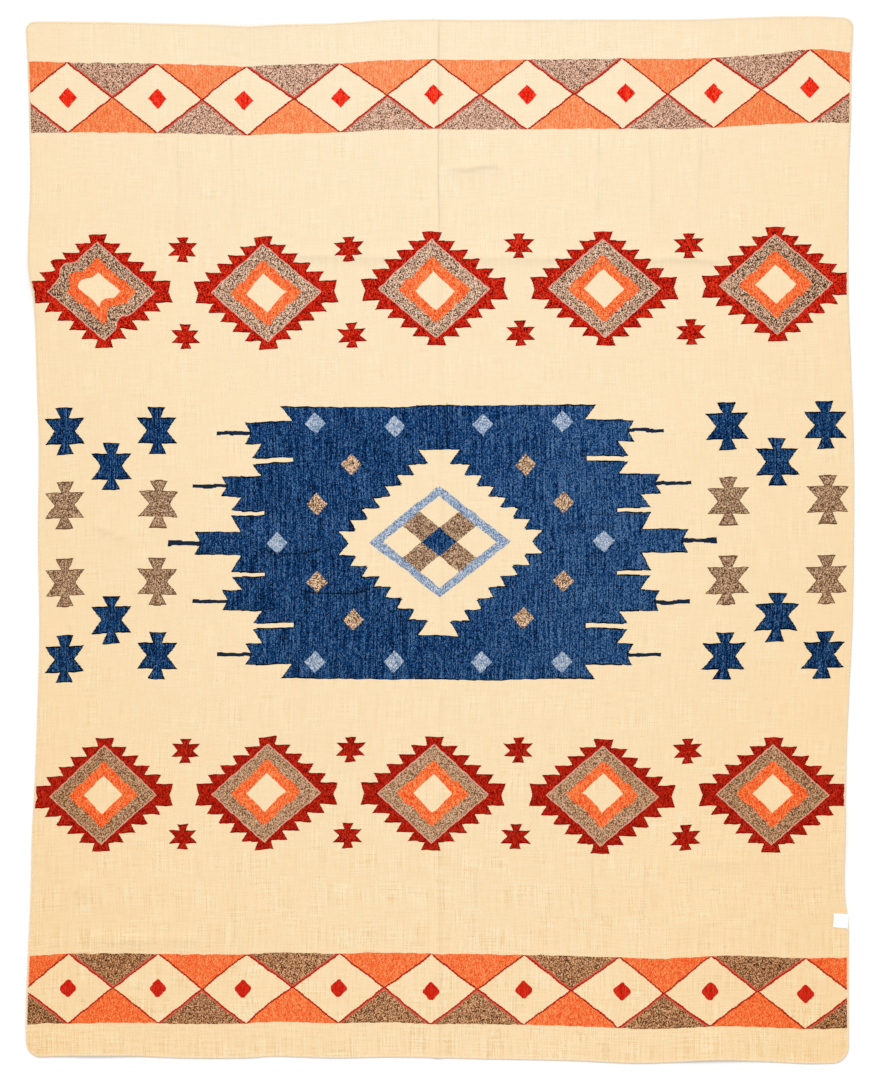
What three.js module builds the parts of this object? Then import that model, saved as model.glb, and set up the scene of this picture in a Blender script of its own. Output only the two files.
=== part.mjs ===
// A woven alpaca blanket, spread face up on the floor.
// Millimetres. X runs across the blanket, Y up its face, Z up from the floor.
import * as THREE from 'three';

// Cloth
const HALF_WIDTH = 954.5;
const HALF_LENGTH = 1206;
const CLOTH_THICKNESS = 2.4;
const HEM_WIDTH = 7;
const HEM_THICKNESS = 3.2;
const TOP_CORNER = 22;
const BOTTOM_CORNER = 36;

// Spacing of the surface's lines away from the hem and the creases
const LINE_SPACING = 72;

// Care label
const LABEL = {
  x: 923.5,
  y: -877,
  width: 33.5,
  length: 32.5,
  thickness: 0.6,
  tilt: -4,
};
const SEAT_GAP = 0.3;

const CREAM = 0xf6deb4;
const LABEL_WHITE = 0xf4f3f0;

// How far each edge lies inside the blanket's widest rectangle, from one end of it to the other.
const LEFT_EDGE = [
  { along: -1206, inset: 3 },
  { along: -1105, inset: 2 },
  { along: -967, inset: 7 },
  { along: -829, inset: 13 },
  { along: -691, inset: 16 },
  { along: -553, inset: 23 },
  { along: -415, inset: 28 },
  { along: -207, inset: 33 },
  { along: 0, inset: 30 },
  { along: 207, inset: 32 },
  { along: 345, inset: 28 },
  { along: 484, inset: 24 },
  { along: 565, inset: 19 },
  { along: 622, inset: 9 },
  { along: 691, inset: 7 },
  { along: 829, inset: 12 },
  { along: 967, inset: 10 },
  { along: 1105, inset: 6 },
  { along: 1206, inset: 1 },
];
const RIGHT_EDGE = [
  { along: -1206, inset: 12 },
  { along: -1036, inset: 12 },
  { along: -877, inset: 13 },
  { along: -829, inset: 20 },
  { along: -760, inset: 22 },
  { along: -622, inset: 19 },
  { along: -484, inset: 17 },
  { along: -345, inset: 11 },
  { along: -207, inset: 4 },
  { along: 0, inset: 0 },
  { along: 207, inset: 0 },
  { along: 415, inset: 7 },
  { along: 553, inset: 12 },
  { along: 829, inset: 12 },
  { along: 967, inset: 7 },
  { along: 1105, inset: 5 },
  { along: 1206, inset: 1 },
];
const TOP_EDGE = [
  { along: -954, inset: 12 },
  { along: -793, inset: 13 },
  { along: -655, inset: 16 },
  { along: -517, inset: 20 },
  { along: -448, inset: 24 },
  { along: -379, inset: 20 },
  { along: -240, inset: 16 },
  { along: -102, inset: 8 },
  { along: 105, inset: 8 },
  { along: 381, inset: 7 },
  { along: 589, inset: 7 },
  { along: 727, inset: 2 },
  { along: 865, inset: 0 },
  { along: 954, inset: 4 },
];
const BOTTOM_EDGE = [
  { along: -954, inset: 14 },
  { along: -862, inset: 18 },
  { along: -724, inset: 18 },
  { along: -586, inset: 13 },
  { along: -448, inset: 13 },
  { along: -379, inset: 17 },
  { along: -240, inset: 13 },
  { along: -102, inset: 15 },
  { along: 105, inset: 11 },
  { along: 312, inset: 7 },
  { along: 450, inset: 1 },
  { along: 520, inset: 2 },
  { along: 658, inset: 9 },
  { along: 796, inset: 3 },
  { along: 865, inset: 0 },
  { along: 954, inset: 2 },
];

// Soft creases: the cloth stands off the floor along each, highest midway, and lies down at its ends.
const CREASES = [
  { name: 'centre fold, upper', x0: -9, y0: 1300, x1: -2, y1: 0, rise: 2.4, reach: 20 },
  { name: 'centre fold, lower', x0: -2, y0: 0, x1: -6, y1: -1300, rise: 2.4, reach: 20 },
  { name: 'ripple under the upper stars', x0: -367, y0: 652, x1: 640, y1: 646, rise: 2.2, reach: 20 },
  { name: 'wrinkle in the first medallion', x0: -870, y0: 612, x1: -735, y1: 492, rise: 5, reach: 46 },
  { name: 'tuck in the blue field', x0: -318, y0: -117, x1: -150, y1: -112, rise: 4, reach: 24 },
  { name: 'short crease by the left blue lozenge', x0: -430, y0: -26, x1: -280, y1: -30, rise: 3, reach: 22 },
  { name: 'short crease right of centre', x0: 245, y0: 42, x1: 420, y1: 46, rise: 3, reach: 22 },
  { name: 'ripple over the lower band', x0: -820, y0: -921, x1: -545, y1: -924, rise: 2.4, reach: 22 },
  { name: 'ripple left of the band end', x0: 560, y0: -738, x1: 705, y1: -742, rise: 2.4, reach: 22 },
];

// Low places of the edge that stand off the floor a little, where the outline waves.
const EDGE_LIFTS = [
  { x: -448, y: 1206, rise: 4, reach: 150 },
  { x: -954, y: 590, rise: 5, reach: 120 },
  { x: 954, y: -700, rise: 4, reach: 110 },
  { x: 640, y: -1206, rise: 5, reach: 130 },
  { x: -790, y: -1206, rise: 4, reach: 130 },
];

// A smooth curve through a table of insets.
function insetAt(table, along) {
  const last = table.length - 1;
  let k = 0;
  while (k < last - 1 && along > table[k + 1].along) k += 1;
  const slope = (i) => {
    const low = table[Math.max(i - 1, 0)];
    const high = table[Math.min(i + 1, last)];
    return (high.inset - low.inset) / (high.along - low.along);
  };
  const span = table[k + 1].along - table[k].along;
  const t = THREE.MathUtils.clamp((along - table[k].along) / span, 0, 1);
  const fall = (1 + 2 * t) * (1 - t) * (1 - t);
  const rise = t * t * (3 - 2 * t);
  const leave = t * (1 - t) * (1 - t) * span * slope(k);
  const arrive = t * t * (t - 1) * span * slope(k + 1);
  return table[k].inset * fall + table[k + 1].inset * rise + leave + arrive;
}

// A bump that is 1 at its middle and runs out to 0 at its reach.
function bump(distance, reach) {
  const t = Math.min(distance / reach, 1);
  return (1 - t * t) * (1 - t * t);
}

// Height of the cloth's underside above the floor.
function liftAt(x, y) {
  let lift = 0;
  for (const c of CREASES) {
    const dx = c.x1 - c.x0;
    const dy = c.y1 - c.y0;
    const length = Math.hypot(dx, dy);
    const along = ((x - c.x0) * dx + (y - c.y0) * dy) / length;
    const away = Math.abs((x - c.x0) * dy - (y - c.y0) * dx) / length;
    const fromMiddle = Math.abs(along - length / 2);
    const taper = bump(Math.max(fromMiddle - length / 2 + c.reach * 2, 0), c.reach * 3);
    if (fromMiddle < length / 2 + c.reach) lift = Math.max(lift, c.rise * bump(away, c.reach) * taper);
  }
  for (const e of EDGE_LIFTS) {
    lift = Math.max(lift, e.rise * bump(Math.hypot(x - e.x, y - e.y), e.reach));
  }
  return lift;
}

// Lines of the surface along one axis: close ones at the hem and its corner, on each crease, and even ones between.
function surfaceLines(half, creaseLines, lowCorner, highCorner) {
  const low = [0, HEM_WIDTH, lowCorner * 0.55, lowCorner].map((d) => d - half);
  const high = [highCorner, highCorner * 0.55, HEM_WIDTH, 0].map((d) => half - d);
  const fixed = [...low, ...creaseLines, ...high].sort((a, b) => a - b);
  const lines = [fixed[0]];
  for (const next of fixed.slice(1)) {
    const from = lines[lines.length - 1];
    const parts = Math.max(Math.round((next - from) / LINE_SPACING), 1);
    for (let k = 1; k <= parts; k += 1) lines.push(from + ((next - from) * k) / parts);
  }
  return lines;
}

// A crease that runs along an axis gets a line on its top and one at each foot.
function creaseLines(values, reach) {
  return values.flatMap((v) => [v - reach, v, v + reach]);
}

// The cloth's outline: a point of the plain rectangle moved to the uneven edges, its corners rounded.
function laidPoint(x, y) {
  const corner = y > 0 ? TOP_CORNER : BOTTOM_CORNER;
  const a = Math.max((Math.abs(x) - (HALF_WIDTH - corner)) / corner, 0);
  const b = Math.max((Math.abs(y) - (HALF_LENGTH - corner)) / corner, 0);
  const roundX = x - Math.sign(x) * corner * a * (1 - Math.sqrt(1 - (b * b) / 2));
  const roundY = y - Math.sign(y) * corner * b * (1 - Math.sqrt(1 - (a * a) / 2));
  const left = insetAt(LEFT_EDGE, y);
  const right = insetAt(RIGHT_EDGE, y);
  const top = insetAt(TOP_EDGE, x);
  const bottom = insetAt(BOTTOM_EDGE, x);
  const across = (x + HALF_WIDTH) / (2 * HALF_WIDTH);
  const up = (y + HALF_LENGTH) / (2 * HALF_LENGTH);
  return {
    x: roundX + left * (1 - across) - right * across,
    y: roundY + bottom * (1 - up) - top * up,
  };
}

// A closed sheet from a grid of points that each have a bottom and a top height.
function sheetGeometry(columns, rows, point) {
  const positions = [];
  const index = [];
  for (const side of ['bottom', 'top']) {
    for (let j = 0; j < rows; j += 1) {
      for (let i = 0; i < columns; i += 1) {
        const p = point(i, j);
        positions.push(p.x, p.y, p[side]);
      }
    }
  }
  const layer = columns * rows;
  const at = (i, j) => j * columns + i;
  const quad = (a, b, c, d) => index.push(a, b, c, a, c, d);
  for (let j = 0; j < rows - 1; j += 1) {
    for (let i = 0; i < columns - 1; i += 1) {
      const [a, b, c, d] = [at(i, j), at(i + 1, j), at(i + 1, j + 1), at(i, j + 1)];
      quad(a + layer, b + layer, c + layer, d + layer);
      quad(a, d, c, b);
    }
  }
  for (let i = 0; i < columns - 1; i += 1) {
    const [a, b] = [at(i, 0), at(i + 1, 0)];
    const [c, d] = [at(i, rows - 1), at(i + 1, rows - 1)];
    quad(a, b, b + layer, a + layer);
    quad(d, c, c + layer, d + layer);
  }
  for (let j = 0; j < rows - 1; j += 1) {
    const [a, b] = [at(0, j), at(0, j + 1)];
    const [c, d] = [at(columns - 1, j), at(columns - 1, j + 1)];
    quad(b, a, a + layer, b + layer);
    quad(c, d, d + layer, c + layer);
  }
  const geometry = new THREE.BufferGeometry();
  geometry.setAttribute('position', new THREE.Float32BufferAttribute(positions, 3));
  geometry.setIndex(index);
  geometry.computeVertexNormals();
  return geometry;
}

function blanketMesh() {
  const uprights = creaseLines([-4], 20);
  const levels = [...creaseLines([649], 18), ...creaseLines([-115], 20), ...creaseLines([44, -28], 16)];
  const xs = surfaceLines(HALF_WIDTH, uprights, BOTTOM_CORNER, BOTTOM_CORNER);
  const ys = surfaceLines(HALF_LENGTH, levels, BOTTOM_CORNER, TOP_CORNER);
  const point = (i, j) => {
    const { x, y } = laidPoint(xs[i], ys[j]);
    const inHem = i < 2 || j < 2 || i > xs.length - 3 || j > ys.length - 3;
    const lift = liftAt(x, y);
    return { x, y, bottom: lift, top: lift + (inHem ? HEM_THICKNESS : CLOTH_THICKNESS) };
  };
  const material = new THREE.MeshStandardMaterial({ color: CREAM, roughness: 0.95, metalness: 0 });
  const mesh = new THREE.Mesh(sheetGeometry(xs.length, ys.length, point), material);
  mesh.name = 'blanket';
  return mesh;
}

// The label lies on the hem and on the cloth beside it, a plain strip of woven tape.
function labelMesh() {
  const geometry = new THREE.BoxGeometry(LABEL.width, LABEL.length, LABEL.thickness);
  const material = new THREE.MeshStandardMaterial({ color: LABEL_WHITE, roughness: 0.8, metalness: 0 });
  const mesh = new THREE.Mesh(geometry, material);
  const height = HEM_THICKNESS + liftAt(LABEL.x, LABEL.y) + SEAT_GAP + LABEL.thickness / 2;
  mesh.name = 'care_label';
  mesh.position.set(LABEL.x, LABEL.y, height);
  mesh.rotation.z = THREE.MathUtils.degToRad(LABEL.tilt);
  return mesh;
}

const model = new THREE.Group();
model.add(blanketMesh(), labelMesh());

export default model;
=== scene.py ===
import math

import bmesh
import bpy
import numpy as np
from mathutils import Matrix


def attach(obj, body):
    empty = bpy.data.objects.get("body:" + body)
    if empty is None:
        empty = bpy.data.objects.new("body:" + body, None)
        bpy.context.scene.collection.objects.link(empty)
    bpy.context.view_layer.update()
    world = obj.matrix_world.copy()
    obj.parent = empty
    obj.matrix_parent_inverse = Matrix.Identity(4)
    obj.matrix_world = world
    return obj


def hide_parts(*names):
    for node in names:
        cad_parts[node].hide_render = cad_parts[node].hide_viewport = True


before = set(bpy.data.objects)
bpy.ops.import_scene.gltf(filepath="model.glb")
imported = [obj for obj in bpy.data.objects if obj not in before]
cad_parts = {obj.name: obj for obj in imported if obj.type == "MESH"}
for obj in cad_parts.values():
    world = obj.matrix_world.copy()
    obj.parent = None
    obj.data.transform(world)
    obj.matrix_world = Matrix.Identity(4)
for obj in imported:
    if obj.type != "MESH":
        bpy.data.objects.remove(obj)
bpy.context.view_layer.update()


# --- The panel ------------------------------------------------------------------------------------
# One piece of woven alpaca wool, cut off the loom, brushed and spread face up on the floor.
# Its edges wave a little, its corners are rounded, and it keeps the soft creases of having lain folded.
MM = 0.001
HALF_WIDTH = 954.5
HALF_LENGTH = 1206
CLOTH_THICKNESS = 2.4
HEM_WIDTH = 8
HEM_FULL_SHARE = 0.6
HEM_UNDERSIDE = 1.1
HEM_TOP = 2.75
TOP_CORNER = 22
BOTTOM_CORNER = 36

# Place along each edge, and how far the edge lies inside the widest rectangle there.
LEFT_EDGE = [
    (-1206, 3), (-1105, 2), (-967, 7), (-829, 13), (-691, 16), (-553, 23), (-415, 28), (-207, 33), (0, 30),
    (207, 32), (345, 28), (484, 24), (565, 19), (622, 9), (691, 7), (829, 12), (967, 10), (1105, 6),
    (1206, 1),
]
RIGHT_EDGE = [
    (-1206, 12), (-1036, 12), (-877, 13), (-829, 20), (-760, 22), (-622, 19), (-484, 17), (-345, 11),
    (-207, 4), (0, 0), (207, 0), (415, 7), (553, 12), (829, 12), (967, 7), (1105, 5), (1206, 1),
]
TOP_EDGE = [
    (-954, 12), (-793, 13), (-655, 16), (-517, 20), (-448, 24), (-379, 20), (-240, 16), (-102, 8), (105, 8),
    (381, 7), (589, 7), (727, 2), (865, 0), (954, 4),
]
BOTTOM_EDGE = [
    (-954, 14), (-862, 18), (-724, 18), (-586, 13), (-448, 13), (-379, 17), (-240, 13), (-102, 15), (105, 11),
    (312, 7), (450, 1), (520, 2), (658, 9), (796, 3), (865, 0), (954, 2),
]

# Creases: both ends of each, how high the cloth stands along it, and how far it reaches to each side.
CREASES = [
    (-9, 1300, -2, 0, 2.4, 17),
    (-2, 0, -6, -1300, 2.4, 17),
    (-367, 652, 640, 646, 2.0, 20),
    (-870, 612, -735, 492, 5.0, 46),
    (-318, -117, -235, -124, 3.6, 20),
    (-235, -124, -150, -108, 3.6, 20),
    (-430, -26, -280, -34, 2.8, 20),
    (245, 34, 420, 46, 2.8, 20),
    (330, 60, 415, 62, 1.8, 16),
    (-820, -921, -545, -924, 2.2, 22),
    (560, -738, 705, -742, 2.2, 22),
    (-20, 845, 155, 858, 1.8, 22),
    (-600, 945, -604, 712, 1.4, 16),
    (-470, 925, -474, 730, 1.4, 16),
    (366, 945, 362, 760, 1.4, 16),
    (488, 945, 486, 712, 1.4, 16),
    (604, 950, 598, 740, 1.4, 16),
    (-474, -735, -470, -945, 1.4, 16),
    (478, -725, 474, -945, 1.4, 16),
    (-314, -230, -311, -345, 1.2, 14),
    (-800, 40, -712, -8, 2.0, 18),
    (-850, -795, -800, -832, 2.0, 18),
]

# Where the edge itself stands a little off the floor: the place, how high, and how far it reaches.
EDGE_LIFTS = [
    (-448, 1206, 4, 150),
    (-954, 590, 5, 120),
    (954, -700, 4, 110),
    (640, -1206, 5, 130),
    (-790, -1206, 4, 130),
]

# How far a crease's ends taper off, in its reaches to the side.
CREASE_TAPER = 3

# The slow waves of a cloth that was smoothed by hand: length across, length up, start and height of each.
COCKLES = [(310, 470, 0.4, 0.26), (-190, 260, 1.9, 0.20), (120, -175, 3.1, 0.14), (85, 66, 5.2, 0.09)]


def edge_inset(edge, along):
    place, inset = np.array(edge, float).T
    slope = np.empty(len(place))
    slope[1:-1] = (inset[2:] - inset[:-2]) / (place[2:] - place[:-2])
    slope[[0, -1]] = (inset[[1, -1]] - inset[[0, -2]]) / (place[[1, -1]] - place[[0, -2]])
    k = np.clip(np.searchsorted(place, along) - 1, 0, len(place) - 2)
    span = place[k + 1] - place[k]
    t = np.clip((along - place[k]) / span, 0, 1)
    value = inset[k] * (1 + 2 * t) * (1 - t) ** 2 + inset[k + 1] * t * t * (3 - 2 * t)
    return value + span * (slope[k] * t * (1 - t) ** 2 + slope[k + 1] * t * t * (t - 1))


def laid_point(x, y):
    """Where a point of the flat rectangle lies on the floor, with the uneven edges and round corners."""
    corner = np.where(y > 0, TOP_CORNER, BOTTOM_CORNER)
    a = np.maximum((np.abs(x) - (HALF_WIDTH - corner)) / corner, 0)
    b = np.maximum((np.abs(y) - (HALF_LENGTH - corner)) / corner, 0)
    across = (x + HALF_WIDTH) / (2 * HALF_WIDTH)
    up = (y + HALF_LENGTH) / (2 * HALF_LENGTH)
    round_x = x - np.sign(x) * corner * a * (1 - np.sqrt(1 - b * b / 2))
    round_y = y - np.sign(y) * corner * b * (1 - np.sqrt(1 - a * a / 2))
    laid_x = round_x + edge_inset(LEFT_EDGE, y) * (1 - across) - edge_inset(RIGHT_EDGE, y) * across
    laid_y = round_y + edge_inset(BOTTOM_EDGE, x) * (1 - up) - edge_inset(TOP_EDGE, x) * up
    return laid_x, laid_y


def swell(distance, reach):
    return (1 - np.minimum(distance / reach, 1) ** 2) ** 2


def lift_at(x, y):
    """How far the cloth's underside stands off the floor."""
    lift = np.zeros_like(x)
    for x0, y0, x1, y1, rise, reach in CREASES:
        length = math.hypot(x1 - x0, y1 - y0)
        along = ((x - x0) * (x1 - x0) + (y - y0) * (y1 - y0)) / length
        away = np.abs((x - x0) * (y1 - y0) - (y - y0) * (x1 - x0)) / length
        beyond = np.maximum(np.abs(along - length / 2) - length / 2 + (CREASE_TAPER - 1) * reach, 0)
        lift = np.maximum(lift, rise * swell(away, reach) * swell(beyond, CREASE_TAPER * reach))
    for x0, y0, rise, reach in EDGE_LIFTS:
        lift = np.maximum(lift, rise * swell(np.hypot(x - x0, y - y0), reach))
    waves = sum(h * (1 + np.sin(x / across + y / up + start)) for across, up, start, h in COCKLES)
    return lift + waves


# Fine creases in the upper side: both ends of each, its half width and how deep it is. Ridges are negative.
FINE_CREASES = [
    (-4, 1215, -6, 330, 9, -0.7),
    (4, -330, 2, -1215, 9, -0.7),
    (16, 311, 18, 205, 5, 0.8),
    (-323, -113, -240, -124, 6, 1.2),
    (-240, -124, -152, -113, 6, 1.2),
    (-412, -17, -358, -31, 6, 0.9),
    (-358, -31, -265, -20, 6, 0.9),
    (340, 62, 410, 58, 6, 0.7),
    (255, 33, 405, 31, 6, 0.5),
    (-600, 950, -603, 725, 6, 0.16),
    (-475, 950, -476, 725, 6, 0.16),
    (365, 950, 366, 730, 6, 0.16),
    (487, 950, 488, 725, 6, 0.16),
    (596, 950, 597, 730, 6, 0.16),
    (82, -730, 81, -945, 6, 0.16),
    (351, -730, 352, -945, 6, 0.16),
    (471, -730, 472, -945, 6, 0.16),
    (-475, -730, -474, -945, 6, 0.16),
    (-314, -232, -313, -345, 6, 0.3),
    (2, 848, 150, 862, 8, 0.35),
    (-367, 650, 690, 640, 9, 0.18),
    (-805, 32, -713, -8, 8, 0.4),
    (-816, -921, -552, -925, 5, 0.12),
    (605, -736, 668, -752, 6, 0.1),
    (-851, -796, -805, -829, 7, 0.4),
]

# A fine crease wanders in two waves and is broken up by a third, each given as height and length. It fades at
# its ends.
WANDER_WIDE, WANDER_TIGHT = (2, 31), (1.2, 12)
BROKEN_UP = (0.25, 43)
CREASE_FADE = 30


def fine_crease_at(x, y):
    depth = np.zeros_like(x)
    for x0, y0, x1, y1, half, deep in FINE_CREASES:
        length = math.hypot(x1 - x0, y1 - y0)
        ux, uy = (x1 - x0) / length, (y1 - y0) / length
        along = (x - x0) * ux + (y - y0) * uy
        wander = WANDER_WIDE[0] * np.sin(along / WANDER_WIDE[1] + x0)
        wander = wander + WANDER_TIGHT[0] * np.sin(along / WANDER_TIGHT[1] + y0)
        off = np.abs((x - x0) * uy - (y - y0) * ux + wander)
        ends = np.clip(np.minimum(along, length - along) / CREASE_FADE, 0, 1)
        broken = 1 - BROKEN_UP[0] + BROKEN_UP[0] * np.sin(along / BROKEN_UP[1] + x1)
        depth += deep * ends * broken * np.clip(1 - off / half, 0, 1)
    return depth


def piece_of(bm, name):
    """The finished piece, shaded smooth and put into the scene."""
    mesh = bpy.data.meshes.new(name)
    bm.to_mesh(mesh)
    bm.free()
    mesh.shade_smooth()
    piece = bpy.data.objects.new(name, mesh)
    bpy.context.scene.collection.objects.link(piece)
    return piece


def cloth_lines(half, count, close, reach):
    """Lines of the cloth from side to side, closer together near its ends and near the creases named."""
    more_at_creases, most, more_at_ends, end_reach = 2.4, 1.2, 5, 9
    place = np.linspace(-half, half, 6001)
    near_creases = sum(np.exp(-(((place - c) / reach) ** 2)) for c in close)
    crowd = 1 + more_at_creases * np.minimum(near_creases, most)
    crowd += more_at_ends * np.exp(-((half - np.abs(place)) / end_reach))
    share = np.concatenate([[0], np.cumsum((crowd[1:] + crowd[:-1]) / 2)])
    return np.interp(np.linspace(0, 1, count + 1), share / share[-1], place)


COLUMNS, ROWS = 192, 226
column_at = cloth_lines(HALF_WIDTH, COLUMNS, [-603, -477, -18, -4, 8, 78, 350, 366, 473, 488, 597], 10)
row_at = cloth_lines(HALF_LENGTH, ROWS, [862, 646, 60, 32, -28, -114, -740, -923], 13)

bm = bmesh.new()
bmesh.ops.create_grid(bm, x_segments=COLUMNS, y_segments=ROWS, size=1)
steps = np.array([v.co[:2] for v in bm.verts])
flat_x = column_at[np.round((steps[:, 0] + 1) / 2 * COLUMNS).astype(int)]
flat_y = row_at[np.round((steps[:, 1] + 1) / 2 * ROWS).astype(int)]
laid_x, laid_y = laid_point(flat_x, flat_y)
lift = lift_at(laid_x, laid_y)
from_edge = np.minimum(HALF_WIDTH - np.abs(flat_x), HALF_LENGTH - np.abs(flat_y))
hem = 1 - np.clip(from_edge / HEM_WIDTH - HEM_FULL_SHARE, 0, 1)
top = lift + CLOTH_THICKNESS + hem * (HEM_TOP - CLOTH_THICKNESS) - fine_crease_at(laid_x, laid_y)
under = lift + hem * HEM_UNDERSIDE

upper = list(bm.verts)
upper_rim = [e for e in bm.edges if e.is_boundary]
rim_verts = [k for k, vert in enumerate(upper) if vert.is_boundary]
lower = bmesh.ops.duplicate(bm, geom=bm.verts[:] + bm.edges[:] + bm.faces[:])["vert_map"]
for k, vert in enumerate(upper):
    vert.co = (laid_x[k] * MM, laid_y[k] * MM, top[k] * MM)
    lower[vert].co = (laid_x[k] * MM, laid_y[k] * MM, under[k] * MM)

# The edge is rounded: two rings stand proud of the face and the underside between them.
RIM_ROUND = 0.45
corner = np.where(flat_y > 0, TOP_CORNER, BOTTOM_CORNER)
out_x = np.sign(flat_x) * np.maximum((np.abs(flat_x) - (HALF_WIDTH - corner)) / corner, 0)
out_y = np.sign(flat_y) * np.maximum((np.abs(flat_y) - (HALF_LENGTH - corner)) / corner, 0)
rings = [upper_rim]
for share in (0.3, 0.7):
    ring = bmesh.ops.duplicate(bm, geom=[upper[k] for k in rim_verts] + upper_rim)
    for k in rim_verts:
        proud = RIM_ROUND / math.hypot(out_x[k], out_y[k])
        high = top[k] + (under[k] - top[k]) * share
        place = (laid_x[k] + out_x[k] * proud, laid_y[k] + out_y[k] * proud, high)
        ring["vert_map"][upper[k]].co = [c * MM for c in place]
    rings.append([e for e in ring["geom"] if isinstance(e, bmesh.types.BMEdge)])
lower_rim = {lower[upper[k]] for k in rim_verts}
rings.append([e for e in bm.edges if e.is_boundary and lower_rim.issuperset(e.verts)])
for ring, next_ring in zip(rings, rings[1:]):
    bmesh.ops.bridge_loops(bm, edges=ring + next_ring)
bmesh.ops.recalc_face_normals(bm, faces=bm.faces)
panel = piece_of(bm, "blanket_panel")
panel_mesh = panel.data


def flat_point(x, y):
    """The point of the flat rectangle that came to lie at a place on the floor, found in a few rounds."""
    rounds = 8
    fx, fy = x.copy(), y.copy()
    for _ in range(rounds):
        lx, ly = laid_point(fx, fy)
        fx = np.clip(fx + x - lx, -HALF_WIDTH, HALF_WIDTH)
        fy = np.clip(fy + y - ly, -HALF_LENGTH, HALF_LENGTH)
    return fx, fy


# Where the pattern was pulled out of line in weaving and washing: the place, how far across and up, and how
# far around it that reaches.
PULLS = [
    (428, 1035, -12, -3, 70),
    (-452, 1033, 12, -3, 70),
    (638, 1033, 5, 3, 170),
    (861, 1139, 0, -8, 60),
    (-940, 1108, 0, -4, 60),
    (-945, -1040, 0, -4, 90),
    (-930, -1118, 0, -4, 50),
    (945, -1045, 0, 5, 90),
    (189, 681, -5, -3, 70),
    (-595, 679, -8, -3, 70),
    (-206, 677, -5, -1, 70),
    (-14, 578, -3, 8, 70),
    (436, 262, 4, -2, 260),
    (-454, 261, 2, -4, 170),
    (-120, 261, -0, 6, 70),
    (-222, 177, 6, -5, 70),
    (-15, 171, 2, 5, 170),
    (893, 97, -6, -4, 70),
    (-672, 86, -6, -3, 70),
    (473, 1, -5, -5, 110),
    (-533, -3, 4, -2, 70),
    (-213, -6, -5, 1, 170),
    (-476, -135, -1, -4, 110),
    (776, -177, -2, -12, 70),
    (776, -177, -7, 7, 170),
    (182, -181, 5, -4, 70),
    (659, -273, -8, 1, 70),
    (659, -273, 13, 3, 170),
    (-895, -281, 3, 7, 110),
    (86, -284, 1, 7, 110),
    (-119, -285, -1, 8, 70),
    (382, -587, -3, -12, 70),
    (781, -588, -0, -5, 70),
    (-408, -590, 1, -7, 170),
    (426, -1042, -13, -6, 70),
    (-450, -1045, 13, 0, 70),
    (-650, -1046, -4, -1, 260),
    (635, -1049, 5, 3, 260),
    (-16, -1050, 0, 9, 70),
]

# The slow bend of the whole pattern, in powers of the place across and up in metres: both powers, then how
# far that term moves it across and up.
BEND = [
    (0, 0, 15.8, 5.0),
    (1, 0, -21.8, -1.0),
    (0, 1, -1.7, -10.8),
    (2, 0, -17.7, -0.5),
    (1, 1, -1.6, -1.4),
    (0, 2, -0.7, 0.9),
    (3, 0, 6.9, -8.2),
    (2, 1, 1.4, -4.3),
    (1, 2, 7.8, 0.7),
    (0, 3, 1.1, 2.7),
]


def woven_place(flat_x, flat_y):
    """The place in the even pattern that a point of the cloth shows."""
    x, y = flat_x, flat_y
    for power_x, power_y, across, up in BEND:
        term = (flat_x * MM) ** power_x * (flat_y * MM) ** power_y
        x, y = x + across * term, y + up * term
    for px, py, across, up, reach in PULLS:
        near = np.exp(-((flat_x - px) ** 2 + (flat_y - py) ** 2) / reach**2)
        x, y = x + across * near, y + up * near
    return x, y


place = np.empty(len(panel_mesh.vertices) * 3)
panel_mesh.vertices.foreach_get("co", place)
place = place.reshape(-1, 3) / MM
flat_x, flat_y = flat_point(place[:, 0], place[:, 1])
woven = np.stack(woven_place(flat_x, flat_y), 1) * MM
corners = np.empty(len(panel_mesh.loops), int)
panel_mesh.loops.foreach_get("vertex_index", corners)
panel_mesh.uv_layers.new(name="woven").data.foreach_set("uv", woven[corners].astype(np.float32).ravel())
from_edge = np.minimum(HALF_WIDTH - np.abs(flat_x), HALF_LENGTH - np.abs(flat_y)) * MM
# How deep each fine crease is, kept for the painted shade in the creases.
crease = np.maximum(fine_crease_at(place[:, 0], place[:, 1]), 0)
for name, values in (("from_edge", from_edge), ("crease", crease)):
    attribute = panel_mesh.attributes.new(name, "FLOAT", "POINT")
    attribute.data.foreach_set("value", values.astype(np.float32))

# A second map for baked textures: the face on the left, the underside on the right, the rim opened outward.
FACE_SHARE, UNDERSIDE_START = 0.68, 0.69
BAKE_BORDER = 10
RIM_OPENED = 5
EDGE_NEARNESS = 0.5
DOWNWARD = -0.8
height = place[:, 2] - lift_at(place[:, 0], place[:, 1])
drop = RIM_OPENED * np.clip(HEM_TOP - height, 0, None)
near_x = HALF_WIDTH - np.abs(flat_x) < EDGE_NEARNESS
near_y = HALF_LENGTH - np.abs(flat_y) < EDGE_NEARNESS
opened_x = flat_x + np.sign(flat_x) * drop * near_x
opened_y = flat_y + np.sign(flat_y) * drop * near_y
spread_x, spread_y = HALF_WIDTH + BAKE_BORDER, HALF_LENGTH + BAKE_BORDER
face_normals = np.empty(len(panel_mesh.polygons) * 3)
panel_mesh.polygons.foreach_get("normal", face_normals)
face_size = np.empty(len(panel_mesh.polygons), int)
panel_mesh.polygons.foreach_get("loop_total", face_size)
faces_down = np.repeat(face_normals.reshape(-1, 3)[:, 2] < DOWNWARD, face_size)
bake_u = np.where(
    faces_down,
    UNDERSIDE_START + (1 - UNDERSIDE_START) * (0.5 - flat_x[corners] / (2 * spread_x)),
    FACE_SHARE * (0.5 + opened_x[corners] / (2 * spread_x)),
)
bake_v = 0.5 + np.where(faces_down, flat_y[corners], opened_y[corners]) / (2 * spread_y)
bake = np.stack([bake_u, bake_v], 1).astype(np.float32)
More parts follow.
